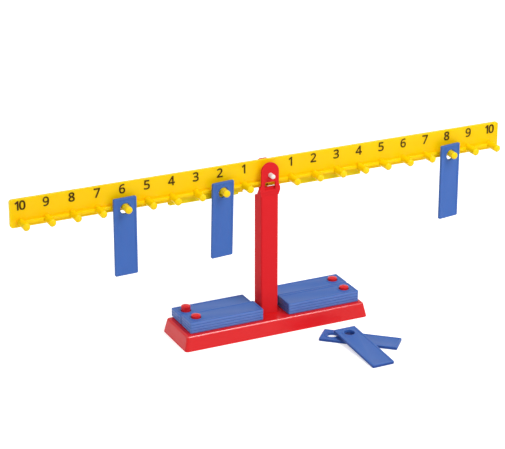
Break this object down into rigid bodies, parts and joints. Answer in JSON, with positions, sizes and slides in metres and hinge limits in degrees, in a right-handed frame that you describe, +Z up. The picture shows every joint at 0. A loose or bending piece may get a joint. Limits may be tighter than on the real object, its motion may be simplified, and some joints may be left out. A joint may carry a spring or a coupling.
{
  "type": "number balance toy",
  "caption": "Plastic number balance: a pivoted beam with numbered pegs on a post and base, with holed plate weights that hang, stack or lie loose.",
  "frame": {"origin": "on the table under the post's axis", "axes": "+X along the beam towards the right arm, -Y towards the numbered side, +Z up"},
  "size_m": [0.645, 0.2035, 0.2157],
  "materials": {
    "stand_red": "moulded gloss",
    "beam_yellow": "moulded gloss",
    "weight_blue": "moulded satin",
    "pin_white": "moulded gloss"
  },
  "bodies": {
    "stand": {"base_shell": "stand_red", "post": "stand_red", "pivot_pin": "pin_white"},
    "beam_body": {"beam": "beam_yellow", "peg_left_1": "beam_yellow", "peg_left_2": "beam_yellow", "peg_left_3": "beam_yellow", "peg_left_4": "beam_yellow", "peg_left_5": "beam_yellow", "peg_left_6": "beam_yellow", "peg_left_7": "beam_yellow", "peg_left_8": "beam_yellow", "peg_left_9": "beam_yellow", "peg_left_10": "beam_yellow", "peg_right_1": "beam_yellow", "peg_right_2": "beam_yellow", "peg_right_3": "beam_yellow", "peg_right_4": "beam_yellow", "peg_right_5": "beam_yellow", "peg_right_6": "beam_yellow", "peg_right_7": "beam_yellow", "peg_right_8": "beam_yellow", "peg_right_9": "beam_yellow", "peg_right_10": "beam_yellow"},
    "zero_bar_left_body": {"zero_bar_left": "beam_yellow"},
    "zero_bar_right_body": {"zero_bar_right": "beam_yellow"},
    "hung_weight_left_outer_body": {"hung_weight_left_outer": "weight_blue"},
    "hung_weight_left_inner_body": {"hung_weight_left_inner": "weight_blue"},
    "hung_weight_right_body": {"hung_weight_right": "weight_blue"},
    "stored_weight_left_front_1_body": {"stored_weight_left_front_1": "weight_blue"},
    "stored_weight_left_front_2_body": {"stored_weight_left_front_2": "weight_blue"},
    "stored_weight_left_front_3_body": {"stored_weight_left_front_3": "weight_blue"},
    "stored_weight_left_front_4_body": {"stored_weight_left_front_4": "weight_blue"},
    "stored_weight_left_back_1_body": {"stored_weight_left_back_1": "weight_blue"},
    "stored_weight_left_back_2_body": {"stored_weight_left_back_2": "weight_blue"},
    "stored_weight_left_back_3_body": {"stored_weight_left_back_3": "weight_blue"},
    "stored_weight_right_front_1_body": {"stored_weight_right_front_1": "weight_blue"},
    "stored_weight_right_front_2_body": {"stored_weight_right_front_2": "weight_blue"},
    "stored_weight_right_front_3_body": {"stored_weight_right_front_3": "weight_blue"},
    "stored_weight_right_front_4_body": {"stored_weight_right_front_4": "weight_blue"},
    "stored_weight_right_back_1_body": {"stored_weight_right_back_1": "weight_blue"},
    "stored_weight_right_back_2_body": {"stored_weight_right_back_2": "weight_blue"},
    "stored_weight_right_back_3_body": {"stored_weight_right_back_3": "weight_blue"},
    "stored_weight_right_back_4_body": {"stored_weight_right_back_4": "weight_blue"},
    "loose_weight_lower_body": {"loose_weight_lower": "weight_blue"},
    "loose_weight_upper_body": {"loose_weight_upper": "weight_blue"}
  },
  "joints": [
    {"name": "beam_tilt", "type": "hinge", "parent": "stand", "child": "beam_body", "pos_m": [0, 0, 0.1986], "axis": [0, 1, 0], "range_deg": [-12, 12]},
    {"name": "zero_bar_left_slide", "type": "slide", "parent": "beam_body", "child": "zero_bar_left_body", "axis": [1, 0, 0], "range_m": [-0.027, 0.004]},
    {"name": "zero_bar_right_slide", "type": "slide", "parent": "beam_body", "child": "zero_bar_right_body", "axis": [1, 0, 0], "range_m": [-0.01, 0.026]},
    {"name": "hung_weight_left_outer_swing", "type": "hinge", "parent": "beam_body", "child": "hung_weight_left_outer_body", "pos_m": [-0.186, 0, 0.1882], "axis": [0, 1, 0], "range_deg": [-45, 45]},
    {"name": "hung_weight_left_inner_swing", "type": "hinge", "parent": "beam_body", "child": "hung_weight_left_inner_body", "pos_m": [-0.062, 0, 0.1882], "axis": [0, 1, 0], "range_deg": [-10, 45]},
    {"name": "hung_weight_right_swing", "type": "hinge", "parent": "beam_body", "child": "hung_weight_right_body", "pos_m": [0.248, 0, 0.1882], "axis": [0, 1, 0], "range_deg": [-45, 45]},
    {"name": "stored_weight_left_front_1_lift", "type": "slide", "parent": "stand", "child": "stored_weight_left_front_1_body", "axis": [0, 0, 1], "range_m": [0, 0.0185]},
    {"name": "stored_weight_left_front_2_lift", "type": "slide", "parent": "stored_weight_left_front_1_body", "child": "stored_weight_left_front_2_body", "axis": [0, 0, 1], "range_m": [0, 0.015]},
    {"name": "stored_weight_left_front_3_lift", "type": "slide", "parent": "stored_weight_left_front_2_body", "child": "stored_weight_left_front_3_body", "axis": [0, 0, 1], "range_m": [0, 0.0115]},
    {"name": "stored_weight_left_front_4_lift", "type": "slide", "parent": "stored_weight_left_front_3_body", "child": "stored_weight_left_front_4_body", "axis": [0, 0, 1], "range_m": [0, 0.008]},
    {"name": "stored_weight_left_back_1_lift", "type": "slide", "parent": "stand", "child": "stored_weight_left_back_1_body", "axis": [0, 0, 1], "range_m": [0, 0.0185]},
    {"name": "stored_weight_left_back_2_lift", "type": "slide", "parent": "stored_weight_left_back_1_body", "child": "stored_weight_left_back_2_body", "axis": [0, 0, 1], "range_m": [0, 0.015]},
    {"name": "stored_weight_left_back_3_lift", "type": "slide", "parent": "stored_weight_left_back_2_body", "child": "stored_weight_left_back_3_body", "axis": [0, 0, 1], "range_m": [0, 0.0115]},
    {"name": "stored_weight_right_front_1_lift", "type": "slide", "parent": "stand", "child": "stored_weight_right_front_1_body", "axis": [0, 0, 1], "range_m": [0, 0.0185]},
    {"name": "stored_weight_right_front_2_lift", "type": "slide", "parent": "stored_weight_right_front_1_body", "child": "stored_weight_right_front_2_body", "axis": [0, 0, 1], "range_m": [0, 0.015]},
    {"name": "stored_weight_right_front_3_lift", "type": "slide", "parent": "stored_weight_right_front_2_body", "child": "stored_weight_right_front_3_body", "axis": [0, 0, 1], "range_m": [0, 0.0115]},
    {"name": "stored_weight_right_front_4_lift", "type": "slide", "parent": "stored_weight_right_front_3_body", "child": "stored_weight_right_front_4_body", "axis": [0, 0, 1], "range_m": [0, 0.008]},
    {"name": "stored_weight_right_back_1_lift", "type": "slide", "parent": "stand", "child": "stored_weight_right_back_1_body", "axis": [0, 0, 1], "range_m": [0, 0.0185]},
    {"name": "stored_weight_right_back_2_lift", "type": "slide", "parent": "stored_weight_right_back_1_body", "child": "stored_weight_right_back_2_body", "axis": [0, 0, 1], "range_m": [0, 0.015]},
    {"name": "stored_weight_right_back_3_lift", "type": "slide", "parent": "stored_weight_right_back_2_body", "child": "stored_weight_right_back_3_body", "axis": [0, 0, 1], "range_m": [0, 0.0115]},
    {"name": "stored_weight_right_back_4_lift", "type": "slide", "parent": "stored_weight_right_back_3_body", "child": "stored_weight_right_back_4_body", "axis": [0, 0, 1], "range_m": [0, 0.008]},
    {"name": "loose_weight_lower_lift", "type": "slide", "parent": "stand", "child": "loose_weight_lower_body", "axis": [0, 0, 1], "range_m": [0, 0.02]},
    {"name": "loose_weight_upper_lift", "type": "slide", "parent": "loose_weight_lower_body", "child": "loose_weight_upper_body", "axis": [0, 0, 1], "range_m": [0, 0.025]}
  ]
}
